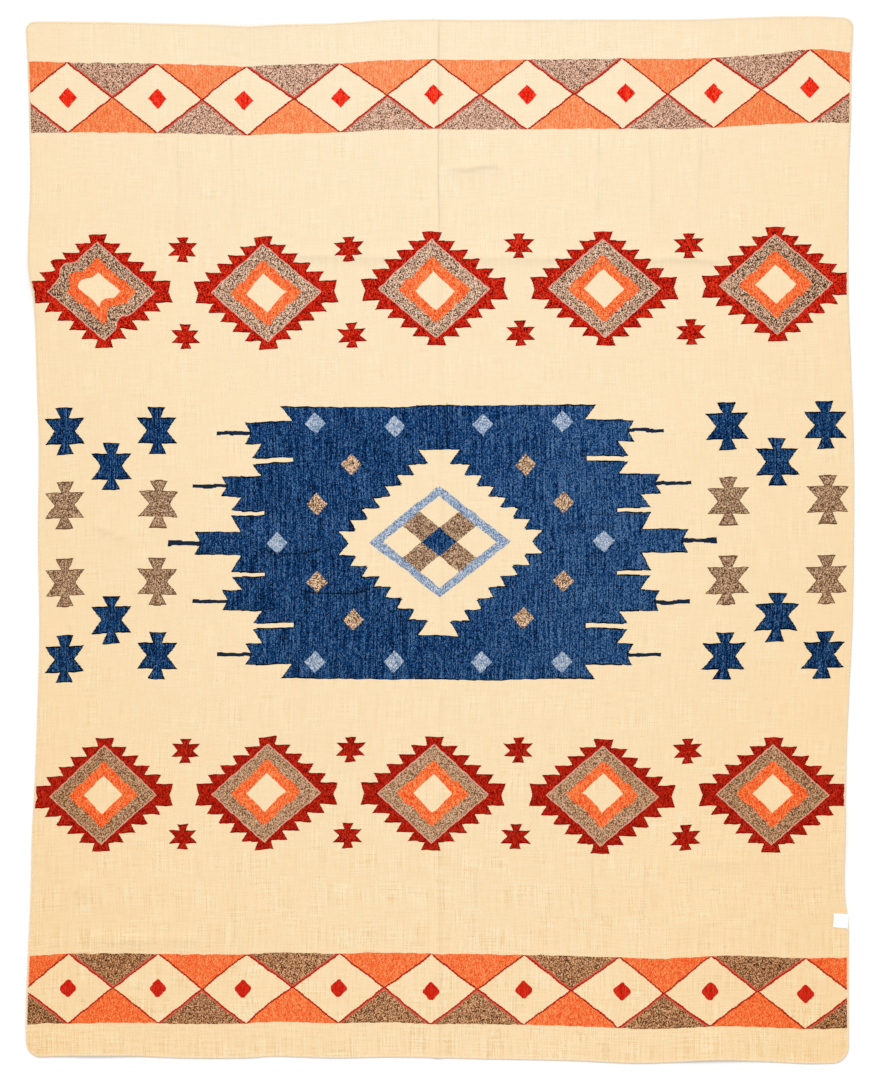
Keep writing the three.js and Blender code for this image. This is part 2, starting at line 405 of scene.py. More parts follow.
panel_mesh.uv_layers.new(name="OFBake").data.foreach_set("uv", bake.ravel())


class Draft:
    """A value, colour or place in a material, worked with as in plain arithmetic."""

    def __init__(self, tree, socket=None):
        self.tree, self.socket = tree, socket

    def node(self, kind, settings, sockets, out=0):
        """Any node: its type, its settings, then the values and links of its sockets."""
        made = self.tree.nodes.new(kind)
        for name, value in settings.items():
            if name == "stops":
                ramp = made.color_ramp
                ramp.interpolation = "LINEAR"
                while len(ramp.elements) < len(value):
                    ramp.elements.new(1)
                for stop, (at, colour) in zip(ramp.elements, value):
                    stop.position = at
                    stop.color = colour
            else:
                setattr(made, name, value)
        for name, value in sockets.items():
            if isinstance(value, Draft):
                self.tree.links.new(value.socket, made.inputs[name])
            else:
                made.inputs[name].default_value = value
        return Draft(self.tree, made.outputs[out] if made.outputs else None)

    def maths(self, operation, *values):
        return self.node("ShaderNodeMath", {"operation": operation}, dict(enumerate(values)))

    def __add__(self, other):
        return self.maths("ADD", self, other)

    def __sub__(self, other):
        return self.maths("SUBTRACT", self, other)

    def __rsub__(self, other):
        return self.maths("SUBTRACT", other, self)

    def __mul__(self, other):
        return self.maths("MULTIPLY", self, other)

    def __truediv__(self, other):
        return self.maths("DIVIDE", self, other)

    def __lt__(self, other):
        return self.maths("LESS_THAN", self, other)

    def __gt__(self, other):
        return self.maths("GREATER_THAN", self, other)

    def __mod__(self, other):
        return self.maths("FLOORED_MODULO", self, other)

    def __and__(self, other):
        return self.maths("MINIMUM", self, other)

    def __or__(self, other):
        return self.maths("MAXIMUM", self, other)

    def __abs__(self):
        return self.maths("ABSOLUTE", self)

    __radd__, __rmul__ = __add__, __mul__

    def floor(self):
        return self.maths("FLOOR", self)

    def blend(self, base, over):
        """base where this mask is 0 and over where it is 1."""
        return self.node("ShaderNodeMix", {"data_type": "RGBA"}, {0: self, 6: base, 7: over}, 2)


STUDIO_LIGHT = 1.08


def dye(red, green, blue):
    """A yarn colour, given as it looks on a screen in the studio's light."""
    parts = (v / 255 for v in (red, green, blue))
    linear = (v / 12.92 if v <= 0.04045 else ((v + 0.055) / 1.055) ** 2.4 for v in parts)
    return (*(v / STUDIO_LIGHT for v in linear), 1)


def fibres(*shades):
    """Stops of a blended yarn, from its darkest fibres to its palest."""
    return [(k / (len(shades) - 1), dye(*shade)) for k, shade in enumerate(shades)]


CREAM_FIBRES = fibres((243, 217, 174), (255, 235, 201), (255, 246, 218))
ORANGE_FIBRES = fibres((226, 74, 22), (253, 138, 80), (255, 190, 140))
DEEP_ORANGE_FIBRES = fibres((230, 60, 14), (254, 114, 56), (255, 162, 104))
GREY_FIBRES = fibres((70, 44, 30), (146, 106, 82), (206, 162, 136), (238, 194, 168), (254, 222, 200))
RING_FIBRES = fibres((34, 22, 16), (104, 76, 56), (198, 158, 130), (244, 204, 176), (255, 236, 218))
FOOT_RING = dye(156, 112, 64)
FOOT_GREY_FIBRES = fibres((36, 24, 16), (104, 70, 48), (162, 113, 79), (206, 154, 114), (240, 198, 160))
BROWN_FIBRES = fibres((56, 36, 22), (112, 82, 58), (158, 126, 98), (192, 160, 132), (236, 206, 180))
PALE_BROWN_FIBRES = fibres((48, 34, 22), (124, 94, 68), (190, 156, 126), (222, 190, 160), (250, 226, 200))
NAVY_FIBRES = fibres((0, 4, 22), (0, 28, 76), (8, 60, 116), (32, 82, 136), (90, 124, 168))
BLUE_FIBRES = fibres((50, 80, 122), (120, 148, 186), (172, 190, 216), (244, 244, 250))
RED_FIBRES = fibres((72, 2, 0), (166, 12, 0), (200, 28, 8), (216, 38, 16), (234, 70, 40))
FOOT_RED = dye(122, 18, 4)
BRIGHT_RED_FIBRES = fibres((196, 4, 0), (250, 40, 18), (255, 84, 54))
# Red, navy and brown rims of the woven shapes: painted shade along their edges.
RED_SHADED_RIM = dye(140, 6, 0)
NAVY_SHADED_RIM = dye(0, 6, 26)
BROWN_SHADED_RIM = dye(112, 84, 62)
GREY_RIM = dye(228, 176, 158)
LINE_RED = dye(176, 24, 8)
LINE_PINK = dye(222, 96, 78)
STREAK_NAVY = dye(22, 40, 66)
# The warm tint of the painted shade towards the foot.
FOOT_TINT = (0.953, 0.792, 0.575, 1)

# The pattern, in millimetres from the middle of the panel.
BAND = {"middle": 1029.4, "half_height": 81.3, "pitch": 213.3, "half_width": 105.5}
BAND |= {"line": 0.029, "pink_line": 0.0232, "pink_line_out": 0.048}
BAND_HEART = {"half_width": 22.5, "half_height": 24, "foot_width": 19.5, "foot_height": 21}
MEDALLION = {"middle": 581, "pitch": 388.5, "grey": (129, 115), "orange": (84, 76), "heart": (46, 45)}
MEDALLION["grey_within_rim"] = 0.975
SMALL_STAR = {"middle": 577.5, "apart": 99.6}
LARGE_STAR = {"column": 766.4, "apart": 109.9, "row": 173.9, "rows_apart": 85.2, "between": 176.2}
FRAME_OUTER = (165, 130.7)
FRAME_INNER = (132.6, 107.4)
CHECK_HEART = 0.31
SMALL_LOZENGE = (24.2, 25.4)
LIGHT_LOZENGES = [(284.4, 275), (101.3, 270.6), (375, 0)]
BROWN_LOZENGES = [(198.7, 177.3), (284.7, 89.8)]

# Stepped outlines. Each row is one step, going out from the middle: where it starts and ends, and its half
# width at both.
SMALL_STAR_STEPS = [(0, 15, 19, 34), (15, 29, 7.5, 14)]
LARGE_STAR_STEPS = [(0, 30, 24.4, 48), (30, 54.4, 9.7, 21.4)]
PANEL_STEPS = [
    (0, 27.6, 550, 566), (27.6, 66.2, 458, 481), (66.2, 76.2, 404, 404), (76.2, 108.2, 481, 458),
    (108.2, 132.7, 505, 492), (132.7, 156.1, 492, 505), (156.1, 185.2, 411, 434), (185.2, 195.2, 337, 337),
    (195.2, 228, 434, 411), (228, 254.5, 449, 434), (254.5, 279.8, 434, 449), (279.8, 313.5, 338, 363),
]

# The thin streaks at the sides of the middle field: how far up, how far out, and half as thick.
PANEL_STREAKS = [(0, 630, 5.6), (133.5, 575, 4.4), (255, 515, 4.4)]


def teeth(first, side, step, count, flare, cap):
    """A serrated edge: the side, then a number of equal teeth, and the cap at its tip."""
    rows = [(0, first[0], side, first[1])]
    for n in range(1, count + 1):
        width = first[1] - n * step[1]
        rows.append((first[0] + (n - 1) * step[0], first[0] + n * step[0], width - flare, width))
    return rows + [(first[0] + count * step[0], *cap)]


MEDALLION_STEPS = teeth((25.3, 167.4), 159, (21.4, 28.2), 4, 12.7, (131.3, 16, 22.6))
PANEL_HEART_STEPS = teeth((28.3, 237), 213, (25.45, 27.5), 6, 14.7, (215, 24.6, 48))

# How wide a shape's rim of painted shade is, and the steps of the medallions' orange lozenge.
RIM_WIDTH = 2.4
STEP = 5.4

# Creases sharp enough to show as a line, painted as a thin line of shade: along X (0) or Y (1), its middle
# and half length, where it lies, how far its ends bend away, its width and how dark the painted shade is.
SHARP_CREASES = [
    (0, -240, 86, -124, 11, 1.2, 0.8),
    (0, -340, 72, -32, 12, 1.2, 0.7),
    (0, 398, 66, 57, 5, 1.1, 0.4),
    (0, 352, 60, 28, 4, 1.1, 0.4),
    (1, 262, 56, 18, 1, 1.2, 0.75),
    (1, 952, 262, -2, 1, 1.2, 0.13),
    (1, -860, 330, 0, 1, 1.2, 0.06),
    (1, 920, 36, 604, 2, 1.0, 0.07),
    (0, 606, 10, 966, 0, 1.6, 0.45),
    (0, -718, 78, -929, 2, 1.0, 0.07),
    (0, -530, 52, -927, 1, 1.0, 0.05),
    (0, -903, 36, -844, 2, 1.0, 0.06),
]


def woven_outline(across, up, steps):
    """Two masks of a stepped outline: all of it, and all but its rim, where the painted shade goes."""
    beyond, edge = 1.04, 0.0006
    reach, widest = steps[-1][1] * beyond, max(max(row[2:]) for row in steps)
    stops = []
    for start, end, at_start, at_end in steps:
        stops += [(start / reach + edge, at_start / widest), (end / reach, at_end / widest)]
    stops += [(steps[-1][1] / reach + edge, 0)]
    stops = [(at, (w, w, w, 1)) for at, w in stops]
    here, farther, nearer = (
        across.node("ShaderNodeValToRGB", {"stops": stops}, {"Fac": place / reach}) * widest
        for place in (up, up + RIM_WIDTH, abs(up - RIM_WIDTH))
    )
    return across < here, across < ((here - RIM_WIDTH) & farther & nearer)


def lozenge(across, up, half_width, half_height):
    """0 at the middle of a lozenge and 1 on its outline."""
    return abs(across) / half_width + abs(up) / half_height


def new_material(name):
    made = bpy.data.materials.new(name)
    made.use_nodes = True
    made.node_tree.nodes.clear()
    return made, Draft(made.node_tree)


wool, start = new_material("woven_alpaca")
woven_uv = start.node("ShaderNodeUVMap", {"uv_map": "woven"}, {})
edge_distance = start.node("ShaderNodeAttribute", {"attribute_name": "from_edge"}, {}, "Fac")

# Threads: shapes step from thread to thread, and drift a little from one pick to the next.
THREAD = 1.6
DRIFT = 4.4


def part_of(place, axis):
    return place.node("ShaderNodeSeparateXYZ", {}, {0: place}, axis)


def scatter(width, height):
    """A value for each short length of fibre, without order."""
    cell = raw_x.node("ShaderNodeCombineXYZ", {}, {0: (raw_x / width).floor(), 1: (raw_y / height).floor()})
    return cell.node("ShaderNodeTexWhiteNoise", {"noise_dimensions": "2D"}, {"Vector": cell}, 0)


def cloud(scale, detail, stretch=(1.0, 1.0, 1.0), out=0):
    """Soft noise over the panel; stretch is how fast it changes across and along."""
    place = woven_uv.node("ShaderNodeVectorMath", {"operation": "MULTIPLY"}, {0: woven_uv, 1: stretch})
    sockets = {"Vector": place, "Scale": scale, "Detail": detail}
    return woven_uv.node("ShaderNodeTexNoise", {"noise_dimensions": "2D"}, sockets, out)


weave_x = raw_x = part_of(woven_uv, 0) * 1000
weave_y = raw_y = part_of(woven_uv, 1) * 1000

# A wrinkle across the first medallion takes the pattern with it.
WRINKLE = {"x": -802, "y": 582, "reach": 31, "length": 128, "fade": 50, "pull": (10, -13)}
along = (raw_x - raw_y - (WRINKLE["x"] - WRINKLE["y"])) / math.sqrt(2)
away = (raw_x + raw_y - (WRINKLE["x"] + WRINKLE["y"])) / math.sqrt(2)
ridge = 1 - (abs(away) / WRINKLE["reach"] & 1) * (abs(away) / WRINKLE["reach"] & 1)
ridge = ridge * ridge * (((WRINKLE["length"] - abs(along)) / WRINKLE["fade"] & 1) | 0)
raw_x = raw_x + ridge * WRINKLE["pull"][0]
raw_y = raw_y + ridge * WRINKLE["pull"][1]

drift = cloud(40.0, 1.0, out=1)
x = ((raw_x + (part_of(drift, 0) - 0.5) * DRIFT) / THREAD).floor() * THREAD + THREAD / 2
y = ((raw_y + (part_of(drift, 1) - 0.5) * DRIFT) / THREAD).floor() * THREAD + THREAD / 2
side_x, side_y = abs(x), abs(y)
side_share = side_x * side_x / HALF_WIDTH**2

# What the yarns are mixed from: specks of single fibres, flecks along the warp, streaks, ribs both ways and
# broad patches.
speck = scatter(1.8, 2.1)
coarse_speck = scatter(2.2, 2.3)
warp_fleck = scatter(1.9, 6.1)
streak = cloud(330.0, 1.0, (1.0, 0.09, 1.0))
rib = cloud(330.0, 0.0, (1.0, 0.035, 1.0))
pick = cloud(330.0, 0.0, (0.05, 1.0, 1.0))
broad = cloud(18.0, 1.0)


def yarn(blend, stops):
    return blend.node("ShaderNodeValToRGB", {"stops": stops}, {"Fac": blend})


def sharpen(value, contrast):
    return (value - 0.5) * contrast + 0.5


# The cream cloth shows its ribs in patches, and more so towards the foot.
FOOT_BAND = 1150
PLAIN_RIBS, MORE_RIBS = 0.7, 0.3
BROAD_SHARE = 0.15
foot_share = y / -FOOT_BAND | 0
ribbed = foot_share * foot_share + foot_share * MORE_RIBS + PLAIN_RIBS
ribbed = ribbed * (sharpen(broad, 2.6) * 1.3 | 0.5)
ribs = sharpen(rib, 2.0) * 0.28 + sharpen(pick, 2.0) * 0.22
threads = sharpen(streak, 1.8) * 0.18 + ribs + warp_fleck * 0.16 + speck * 0.16
cream = yarn(sharpen(threads, ribbed) + (broad - 0.5) * BROAD_SHARE, CREAM_FIBRES)

# The coloured yarns: what each is mixed from, less what it darkens towards the sides. In the foot half a
# deeper one takes over.
grey = yarn(speck - side_share * 0.06, GREY_FIBRES)
grey = (y < 0).blend(grey, yarn(speck + 0.03 - side_share * 0.1, FOOT_GREY_FIBRES))
ring_grey = yarn(speck * 0.94 + 0.03 - side_share * 0.15, RING_FIBRES)
ring_grey = ((y < 0) * 0.34).blend(ring_grey, FOOT_RING)
brown = yarn(speck, BROWN_FIBRES)
pale_brown = yarn(coarse_speck, PALE_BROWN_FIBRES)
ripple = sharpen(streak, 2.0) * 0.3 + warp_fleck * 0.25 + speck * 0.45
orange = yarn(ripple + 0.08 - side_share * 0.16, ORANGE_FIBRES)
deep_ripple = sharpen(coarse_speck * 0.6 + warp_fleck * 0.4, 1.5) - side_share * 0.1 + 0.03
deep_orange = yarn(deep_ripple, DEEP_ORANGE_FIBRES)
orange = ((y < 0) * 0.8).blend(orange, deep_orange)
navy_blend = sharpen(sharpen(rib, 2.0) * 0.24 + warp_fleck * 0.24 + speck * 0.52, 1.7)
navy = yarn(navy_blend - 0.02, NAVY_FIBRES)
# A paler navy for the painted sheen on the right of the middle field.
sheen_navy = yarn(navy_blend + 0.1, NAVY_FIBRES)
star_navy = yarn(navy_blend - 0.07, NAVY_FIBRES)
light_blue = yarn(warp_fleck * 0.3 + coarse_speck * 0.7, BLUE_FIBRES)
red = yarn(sharpen(warp_fleck * 0.35 + coarse_speck * 0.65, 1.5), RED_FIBRES)
red = ((y < 0) * 0.38).blend(red, FOOT_RED)
bright_red = yarn(sharpen(ripple, 1.7), BRIGHT_RED_FIBRES)
bright_red = ((y < 0) * (0.2 + speck * 0.3)).blend(bright_red, FOOT_RED)

# The middle field's navy is painted paler to the right, a painted sheen, and is palest from this far out.
SHEEN_FROM = 300
navy = ((x / SHEEN_FROM & 1) | 0).blend(navy, sheen_navy)


def lay(colour, masks, rim, threads):
    """Weaves a shape into the colour so far: its rim first, then all within it. A dark rim is painted shade
    along its edge.
    """
    return masks[1].blend(masks[0].blend(colour, rim), threads)


# The two bands of lozenges.
from_band = side_y - BAND["middle"]
in_band = abs(from_band) < BAND["half_height"]
cell = x / BAND["pitch"]
from_lozenge = abs(cell - (cell + 0.5).floor()) * BAND["pitch"]
band_lozenge = lozenge(from_lozenge, from_band, BAND["half_width"], BAND["half_height"])
above = (from_band * y.maths("SIGN", y)) < 0
odd = ((side_x / BAND["pitch"]).floor() + above) % 2
ground = (odd > 0.5).blend(orange, grey)
ground = (band_lozenge < 1).blend(ground, cream)
beside = abs(band_lozenge - 1 - BAND["pink_line_out"]) < BAND["pink_line"]
ground = (beside & (odd > 0.5)).blend(ground, LINE_PINK)
ground = (abs(band_lozenge - 1) < BAND["line"]).blend(ground, LINE_RED)
heart = lozenge(from_lozenge, from_band, BAND_HEART["half_width"], BAND_HEART["half_height"])
cut = (from_lozenge / BAND_HEART["foot_width"] | abs(from_band) / BAND_HEART["foot_height"]) * (y < 0)
heart = heart | cut
ground = (heart < 1).blend(ground, bright_red)
colour = in_band.blend(cream, ground)

# The medallions and the small stars between them.
cell = x / MEDALLION["pitch"]
across = abs(cell - (cell + 0.5).floor()) * MEDALLION["pitch"]
up = abs(side_y - MEDALLION["middle"])
colour = lay(colour, woven_outline(across, up, MEDALLION_STEPS), RED_SHADED_RIM, red)
ring = lozenge(across, up, *MEDALLION["grey"])
colour = lay(colour, (ring < 1, ring < MEDALLION["grey_within_rim"]), GREY_RIM, ring_grey)
stepped = ((across / STEP).floor() * STEP + STEP / 2, (up / STEP).floor() * STEP + STEP / 2)
colour = (lozenge(*stepped, *MEDALLION["orange"]) < 1).blend(colour, deep_orange)
colour = (lozenge(across, up, *MEDALLION["heart"]) < 1).blend(colour, cream)
star_up = abs(abs(side_y - SMALL_STAR["middle"]) - SMALL_STAR["apart"])
within = side_x < 2 * MEDALLION["pitch"]
star = [mask & within for mask in woven_outline(MEDALLION["pitch"] / 2 - across, star_up, SMALL_STAR_STEPS)]
colour = lay(colour, star, RED_SHADED_RIM, red)

# The stars at both sides of the middle.
column = abs(abs(side_x - LARGE_STAR["column"]) - LARGE_STAR["apart"])
row = abs(abs(side_y - LARGE_STAR["row"]) - LARGE_STAR["rows_apart"])
blue_row = side_y > LARGE_STAR["row"]
star = woven_outline(column, row, LARGE_STAR_STEPS)
colour = lay(colour, star, blue_row.blend(BROWN_SHADED_RIM, NAVY_SHADED_RIM), blue_row.blend(brown, star_navy))
across, up = abs(side_x - LARGE_STAR["column"]), abs(side_y - LARGE_STAR["between"])
between = woven_outline(across, up, LARGE_STAR_STEPS)
colour = lay(colour, between, NAVY_SHADED_RIM, star_navy)

# The middle field, its streaks, its small lozenges and the stepped lozenge at its heart.
WAVER, FRAME_WAVER, CHECK_WAVER = 9, 0.6, 0.4
waver = (broad - 0.5) * WAVER
for height, reach, half in PANEL_STREAKS:
    colour = ((abs(side_y + waver - height) < half) & (side_x < reach)).blend(colour, STREAK_NAVY)
colour = lay(colour, woven_outline(side_x, side_y, PANEL_STEPS), NAVY_SHADED_RIM, navy)
for places, threads in ((LIGHT_LOZENGES, light_blue), (BROWN_LOZENGES, pale_brown)):
    for place_x, place_y in places:
        colour = (lozenge(side_x - place_x, side_y - place_y, *SMALL_LOZENGE) < 1).blend(colour, threads)
across, up = side_x - RIM_WIDTH | 0, abs(side_y - RIM_WIDTH / 2)
colour = lay(colour, woven_outline(across, up, PANEL_HEART_STEPS), NAVY_SHADED_RIM, cream)
frame_mask = lozenge(x + waver * FRAME_WAVER, y + waver * FRAME_WAVER, *FRAME_OUTER) < 1
colour = frame_mask.blend(colour, light_blue)
rising = abs((x - waver * CHECK_WAVER) / FRAME_INNER[0] + y / FRAME_INNER[1])
falling = abs((x - waver * CHECK_WAVER) / FRAME_INNER[0] - y / FRAME_INNER[1])
check = ((rising & falling) > CHECK_HEART).blend(brown, cream)
check = ((rising | falling) < CHECK_HEART).blend(check, navy)
colour = ((rising | falling) < 1).blend(colour, check)

# The pattern stops just inside the edge. The cloth is painted warmer and darker towards the foot, a painted
# fall-off of the light, and darker towards the sides.
PATTERN_END = 3.5
FALLOFF_LENGTH, DARKER_SIDES, MOST_TINT = 2400, 0.42, 0.6
colour = (edge_distance < PATTERN_END * MM).blend(colour, cream)
# Painted shade: the light's fall-off towards the foot, and darkening towards the sides.
foot_and_side_darkening = (0.5 - y / FALLOFF_LENGTH + side_share * DARKER_SIDES | 0) * MOST_TINT
multiply = {"data_type": "RGBA", "blend_type": "MULTIPLY"}
colour = colour.node("ShaderNodeMix", multiply, {0: foot_and_side_darkening, 6: colour, 7: FOOT_TINT}, 2)

# Painted shade: the creases are a little darker at their bottom, and the sharp ones are a thin painted line
# of shade.
CREASE_SHADE = 0.45
SWAY = 0.5
fold_shade = start.node("ShaderNodeAttribute", {"attribute_name": "crease"}, {}, "Fac") * CREASE_SHADE
laid = start.node("ShaderNodeTexCoord", {}, {}, "Object")
laid = [part_of(laid, 0) * 1000, part_of(laid, 1) * 1000]
sway = waver * SWAY
for axis, middle, half, level, sag, width, depth in SHARP_CREASES:
    along = (laid[axis] - middle) / half
    off = abs(laid[1 - axis] + sway - level - along * along * sag) / width
    fold_shade = fold_shade | (2 - off & 5 - abs(along) * 5 & 1) * depth
colour = fold_shade.blend(colour, (0, 0, 0, 1))

# Weave and nap: ribs across and along, broken up by slubs and brushed fibre.
RIB, RIB_HEIGHT = 1.7, 0.12
rib_x = start.maths("SINE", weave_x * (2 * math.pi / RIB))
rib_y = start.maths("SINE", weave_y * (2 * math.pi / RIB))
nap = cloud(460.0, 0.0)
height = rib_x * RIB_HEIGHT + rib_y * RIB_HEIGHT + nap
bump = start.node("ShaderNodeBump", {}, {"Strength": 0.5, "Distance": 0.0012, "Height": height})
surface = start.node(
    "ShaderNodeBsdfPrincipled",
    {},
    {
        "Base Color": colour,
        "Roughness": 0.9,
        "Normal": bump,
        "Sheen Weight": 0.02,
        "Sheen Roughness": 0.6,
        "Specular IOR Level": 0.04,
    },
)
start.node("ShaderNodeOutputMaterial", {}, {"Surface": surface})
panel_mesh.materials.append(wool)

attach(panel, "root")
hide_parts("blanket")


# --- The overcast edge ----------------------------------------------------------------------------
# The cut edge is bound by a thick cream yarn, worked over it stitch by stitch by machine, all the way round.
STITCH_PITCH = 3.1
YARN_RADIUS = 0.9
STITCH_WIDTH = 5
YARN_SIDES = 5
YARN_END = 0.55
UNEVEN_WIDTH, UNEVEN_LEAN = 0.1, 0.35
LOOK_ALONG = 4

# One stitch over the edge: how far out from it, how high, and how far it leans along it.
STITCH_PATH = [
    (-STITCH_WIDTH, 2.2, -1.0), (-3.4, 3.0, -0.7), (-1.0, 3.0, -0.2), (0.0, 1.9, 0.1), (-1.2, 0.95, 0.5),
    (-3.6, 1.0, 0.9),
]

side = np.linspace(-1, 1, 1500)[:-1]
loop_x = np.concatenate([side, np.ones_like(side), -side, -np.ones_like(side)]) * HALF_WIDTH
loop_y = np.concatenate([-np.ones_like(side), side, np.ones_like(side), -side]) * HALF_LENGTH
loop = np.stack(laid_point(loop_x, loop_y), 1)
closed = np.vstack([loop, loop[:1]])
run = np.concatenate([[0], np.cumsum(np.hypot(*np.diff(closed, axis=0).T))])
stitches = int(run[-1] / STITCH_PITCH)
where = (np.arange(stitches) + 0.5) * run[-1] / stitches


def edge_at(where):
    """Points of the edge, by how far round it they are."""
    return np.stack([np.interp(where % run[-1], run, closed[:, k]) for k in (0, 1)], 1)


edge_point = edge_at(where)
chord = edge_at(where + LOOK_ALONG) - edge_at(where - LOOK_ALONG)
tangent = chord / np.linalg.norm(chord, axis=1)[:, None]
outward = np.stack([tangent[:, 1], -tangent[:, 0]], 1)
lift = lift_at(edge_point[:, 0], edge_point[:, 1])

bm = bmesh.new()
path = np.array(STITCH_PATH)
ring = None
for k, (out, high, lean) in enumerate(path):
    near = path[min(k + 1, len(path) - 1)] - path[max(k - 1, 0)]
    along = near / np.linalg.norm(near)
    flat_side = np.cross(along, (0, 0, 1))
    flat_side /= np.linalg.norm(flat_side)
    rise_side = np.cross(flat_side, along)
    radius = YARN_RADIUS * (YARN_END if k in (0, len(path) - 1) else 1)
    turn = [2 * math.pi * n / YARN_SIDES for n in range(YARN_SIDES)]
    middle = np.array((out, high, lean))
    around = [radius * (math.cos(a) * flat_side + math.sin(a) * rise_side) for a in turn]
    new_ring = [bm.verts.new(middle + point) for point in around]
    edges = [bm.edges.new((new_ring[n], new_ring[(n + 1) % YARN_SIDES])) for n in range(YARN_SIDES)]
    if ring:
        bmesh.ops.bridge_loops(bm, edges=ring + edges)
    ring = edges
bmesh.ops.holes_fill(bm, edges=bm.edges, sides=YARN_SIDES)
bmesh.ops.recalc_face_normals(bm, faces=bm.faces)
one = bpy.data.meshes.new("one_stitch")
bm.to_mesh(one)
bm.free()
stitch_points = np.array([v.co for v in one.vertices])
stitch_faces = [list(p.vertices) for p in one.polygons]
bpy.data.meshes.remove(one)

dice = np.random.default_rng(11)
wobble = 1 + UNEVEN_WIDTH * dice.standard_normal((stitches, 1))
lean = stitch_points[None, :, 2] + UNEVEN_LEAN * dice.standard_normal((stitches, 1))
out = stitch_points[None, :, 0] * wobble
all_points = np.empty((stitches, len(stitch_points), 3))
for k in (0, 1):
    all_points[..., k] = edge_point[:, None, k] + outward[:, None, k] * out + tangent[:, None, k] * lean
all_points[..., 2] = stitch_points[None, :, 1] + lift[:, None]
all_faces = [[v + n * len(stitch_points) for v in face] for n in range(stitches) for face in stitch_faces]
all_stitches = bpy.data.meshes.new("all_stitches")
all_stitches.from_pydata((all_points * MM).reshape(-1, 3).tolist(), [], all_faces)
bm = bmesh.new()
bm.from_mesh(all_stitches)
bpy.data.meshes.remove(all_stitches)
bmesh.ops.recalc_face_normals(bm, faces=bm.faces)
overcast = piece_of(bm, "overcast_edge")

binding, start = new_material("binding_yarn")
here = start.node("ShaderNodeTexCoord", {}, {}, "Object")
fuzz = start.node("ShaderNodeTexNoise", {}, {"Vector": here, "Scale": 900.0, "Detail": 2.0}, 0)
patch = start.node("ShaderNodeTexNoise", {}, {"Vector": here, "Scale": 30.0, "Detail": 2.0}, 0)
colour = (fuzz * 0.5 + patch * 0.5).blend(dye(250, 226, 192), dye(255, 246, 228))
bump = start.node("ShaderNodeBump", {}, {"Strength": 0.4, "Distance": 0.0004, "Height": fuzz})
surface = start.node(
    "ShaderNodeBsdfPrincipled",
    {},
    {
        "Base Color": colour,
        "Roughness": 0.9,
        "Normal": bump,
        "Sheen Weight": 0.12,
        "Specular IOR Level": 0.12,
    },
)
start.node("ShaderNodeOutputMaterial", {}, {"Surface": surface})
overcast.data.materials.append(binding)
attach(overcast, "root")


# --- The care label -------------------------------------------------------------------------------
# A small square of white woven tape, blank. It is sewn down along the blanket's right edge with white thread,
# and is loose on its inner side.
LABEL_X, LABEL_Y = 924.2, -877
LABEL_WIDTH, LABEL_LENGTH = 34.5, 33.5
LABEL_THICKNESS = 0.45
LABEL_TILT = math.radians(-4)
LABEL_REST = 2.5
LABEL_OVER_YARN = 1.45
LABEL_YARN_FROM, LABEL_YARN_RISE = 0.35, 0.25
LABEL_CURL, LABEL_RIPPLE, LABEL_BOW = 1.3, 0.2, 0.35
LABEL_TAPER = 0.4
LABEL_BEVEL = 0.12


def label_height(across, along):
    """The tape's height over the cloth's underside: on the yarn at the edge, curling up at its free end."""
    over_yarn = min(max((across - LABEL_YARN_FROM) / LABEL_YARN_RISE, 0), 1)
    free = max(-across, 0)
    bow = LABEL_BOW * (1 - along * along) * (1 - across) / 2
    ripple = LABEL_RIPPLE * math.sin(3 * along + 1) * free
    return LABEL_REST + LABEL_OVER_YARN * over_yarn + LABEL_CURL * free**3 + ripple + bow


def on_label(across, along):
    """The place on the floor of a point of the tape."""
    px, py = across * LABEL_WIDTH / 2, along * (LABEL_LENGTH / 2 - LABEL_TAPER * (1 - across))
    cos, sin = math.cos(LABEL_TILT), math.sin(LABEL_TILT)
    return LABEL_X + px * cos - py * sin, LABEL_Y + px * sin + py * cos


bm = bmesh.new()
bmesh.ops.create_grid(bm, x_segments=24, y_segments=14, size=1)
for vert in bm.verts:
    px, py = on_label(vert.co.x, vert.co.y)
    high = label_height(vert.co.x, vert.co.y) + LABEL_THICKNESS + float(lift_at(np.array(px), np.array(py)))
    vert.co = (px * MM, py * MM, high * MM)
bmesh.ops.solidify(bm, geom=bm.faces[:], thickness=LABEL_THICKNESS * MM)
bmesh.ops.recalc_face_normals(bm, faces=bm.faces)
rim = [e for e in bm.edges if e.calc_face_angle(0) > 1.0]
bmesh.ops.bevel(bm, geom=rim, offset=LABEL_BEVEL * MM, segments=1, profile=0.5, affect="EDGES", material=-1)
label = piece_of(bm, "care_label_tape")

tape, start = new_material("label_tape")
TAPE_RIBS_UP, TAPE_RIBS_ACROSS = 7000, 9000
here = start.node("ShaderNodeTexCoord", {}, {}, "Object")
ribs_up = start.maths("SINE", part_of(here, 1) * TAPE_RIBS_UP)
ribs = ribs_up * 0.5 + start.maths("SINE", part_of(here, 0) * TAPE_RIBS_ACROSS) * 0.5
mottle = start.node("ShaderNodeTexNoise", {}, {"Vector": here, "Scale": 160.0, "Detail": 3.0}, 0)
colour = mottle.blend((0.93, 0.93, 0.91, 1), (0.99, 0.99, 0.98, 1))
bump = start.node("ShaderNodeBump", {}, {"Strength": 0.3, "Distance": 0.0002, "Height": ribs + mottle})
surface = start.node(
    "ShaderNodeBsdfPrincipled",
    {},
    {"Base Color": colour, "Roughness": mottle * 0.1 + 0.6, "Normal": bump, "Specular IOR Level": 0.3},
)
start.node("ShaderNodeOutputMaterial", {}, {"Surface": surface})
label.data.materials.append(tape)
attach(label, "root")
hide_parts("care_label")

